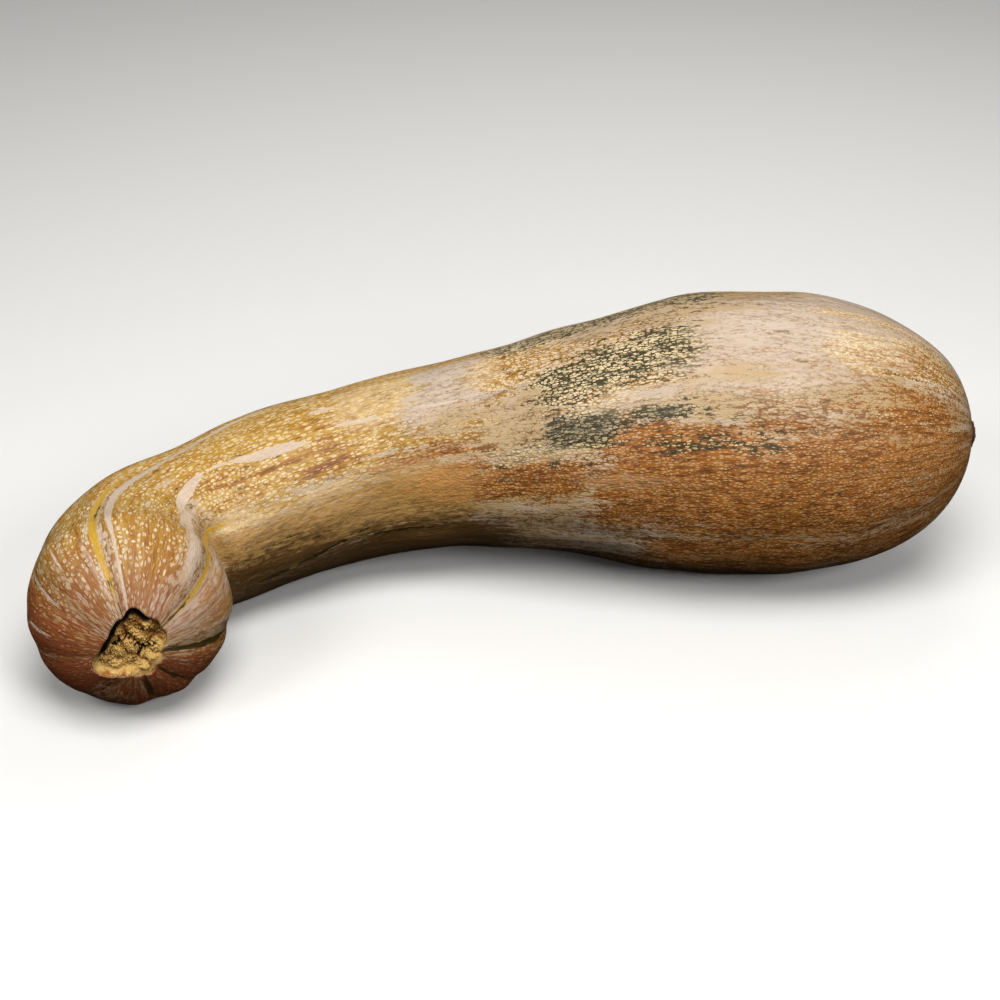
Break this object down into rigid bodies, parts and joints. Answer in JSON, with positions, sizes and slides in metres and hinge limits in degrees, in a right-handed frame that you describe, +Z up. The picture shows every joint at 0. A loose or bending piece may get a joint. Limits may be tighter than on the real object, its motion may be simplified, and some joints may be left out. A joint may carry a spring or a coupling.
{
  "type": "crook-necked pumpkin",
  "caption": "Long crook-necked pumpkin lying on its side: a fat bulb, a long netted neck and a hooked, furrowed stem end with a hollow scar.",
  "frame": {"origin": "on the ground under the middle of the fruit's box", "axes": "+X along the bulb towards the blossom end, -Y the way the hooked stem end faces, +Z up"},
  "size_m": [0.5752, 0.286, 0.179],
  "materials": {
    "rind": "waxy, smooth to the touch, with a fine raised net, mottled ochre, tan, rust and dark green"
  },
  "bodies": {
    "root": {"pumpkin": "rind"}
  },
  "joints": []
}
